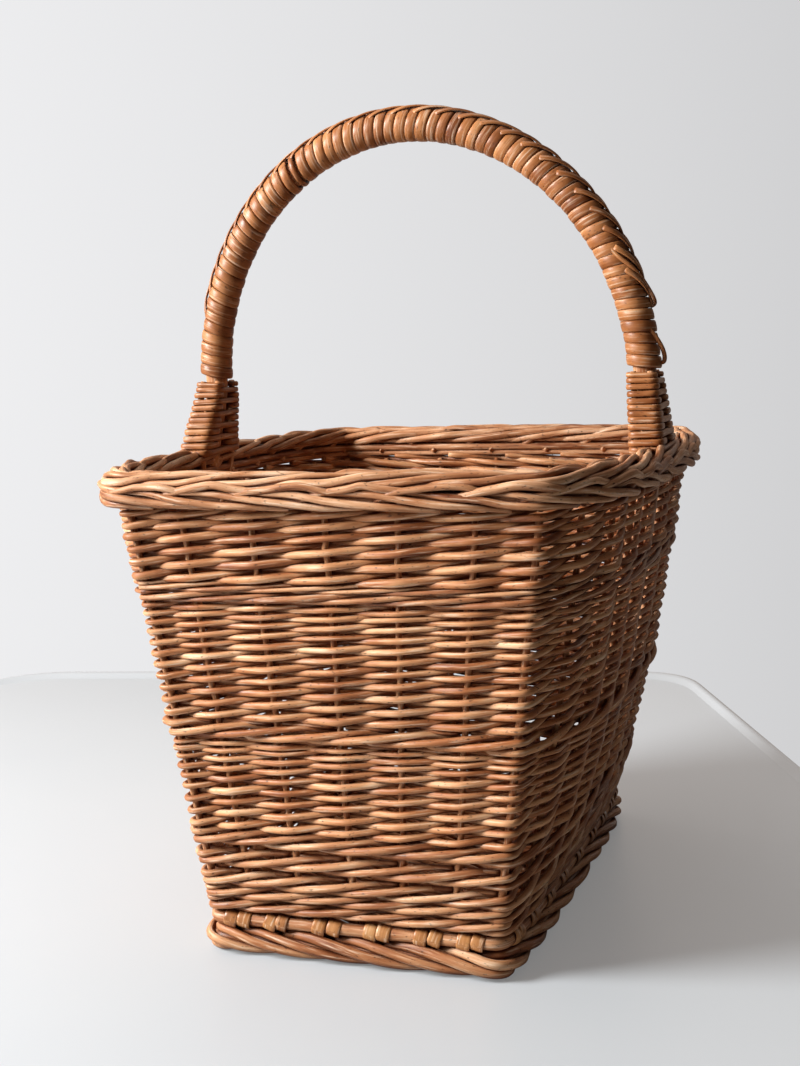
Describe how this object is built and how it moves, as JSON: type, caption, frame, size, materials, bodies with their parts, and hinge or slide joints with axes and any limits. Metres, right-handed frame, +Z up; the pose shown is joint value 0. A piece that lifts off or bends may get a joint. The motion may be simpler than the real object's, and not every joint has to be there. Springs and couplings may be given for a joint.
{
  "type": "woven market basket",
  "caption": "Tall rectangular woven willow basket with flared, bulging sides, a plaited rim, a roped foot and a rigid cane-wrapped bow handle, for carrying shopping.",
  "frame": {"origin": "bottom centre of the foot, which is the bottom centre of the whole basket's bounding box", "axes": "+Z up; X across the basket, with the handle spanning X at y = 0; Y along the basket's long sides; the short end facing -Y is the one in the picture"},
  "size_m": [0.3134, 0.358, 0.4736],
  "materials": {
    "woven_willow": "steamed willow rods, tan brown with pale and dark streaks, half matt",
    "thick_willow": "thicker steamed willow rods, darker tan brown, half matt",
    "willow_rod": "straight willow rods, tan brown, half matt",
    "golden_cane": "flat split cane, golden orange, glossy"
  },
  "bodies": {
    "root": {"foot_border": "thick_willow", "base_stick": "thick_willow", "cane_lapping": "golden_cane", "floor_weave": "woven_willow", "floor_stick_1": "willow_rod", "floor_stick_2": "willow_rod", "floor_stick_3": "willow_rod", "floor_stick_4": "willow_rod", "floor_stick_5": "willow_rod", "upsett_wale": "woven_willow", "lower_weave": "woven_willow", "lower_wale": "thick_willow", "middle_weave": "woven_willow", "upper_wale": "thick_willow", "upper_weave": "woven_willow", "rim_border": "thick_willow", "stake_front_1": "willow_rod", "stake_front_2": "willow_rod", "stake_front_3": "willow_rod", "stake_front_4": "willow_rod", "stake_front_5": "willow_rod", "stake_back_1": "willow_rod", "stake_back_2": "willow_rod", "stake_back_3": "willow_rod", "stake_back_4": "willow_rod", "stake_back_5": "willow_rod", "stake_right_1": "willow_rod", "stake_right_2": "willow_rod", "stake_right_3": "willow_rod", "stake_right_4": "willow_rod", "stake_right_5": "willow_rod", "stake_right_6": "willow_rod", "stake_right_7": "willow_rod", "stake_right_8": "willow_rod", "stake_left_1": "willow_rod", "stake_left_2": "willow_rod", "stake_left_3": "willow_rod", "stake_left_4": "willow_rod", "stake_left_5": "willow_rod", "stake_left_6": "willow_rod", "stake_left_7": "willow_rod", "stake_left_8": "willow_rod", "corner_post_front_right": "willow_rod", "corner_post_back_right": "willow_rod", "corner_post_back_left": "willow_rod", "corner_post_front_left": "willow_rod", "handle_bow": "willow_rod", "handle_wrap": "golden_cane", "handle_ridge": "golden_cane", "gusset_right": "woven_willow", "gusset_left": "woven_willow", "liner_right_front": "willow_rod", "liner_right_back": "willow_rod", "liner_left_front": "willow_rod", "liner_left_back": "willow_rod"}
  },
  "joints": []
}
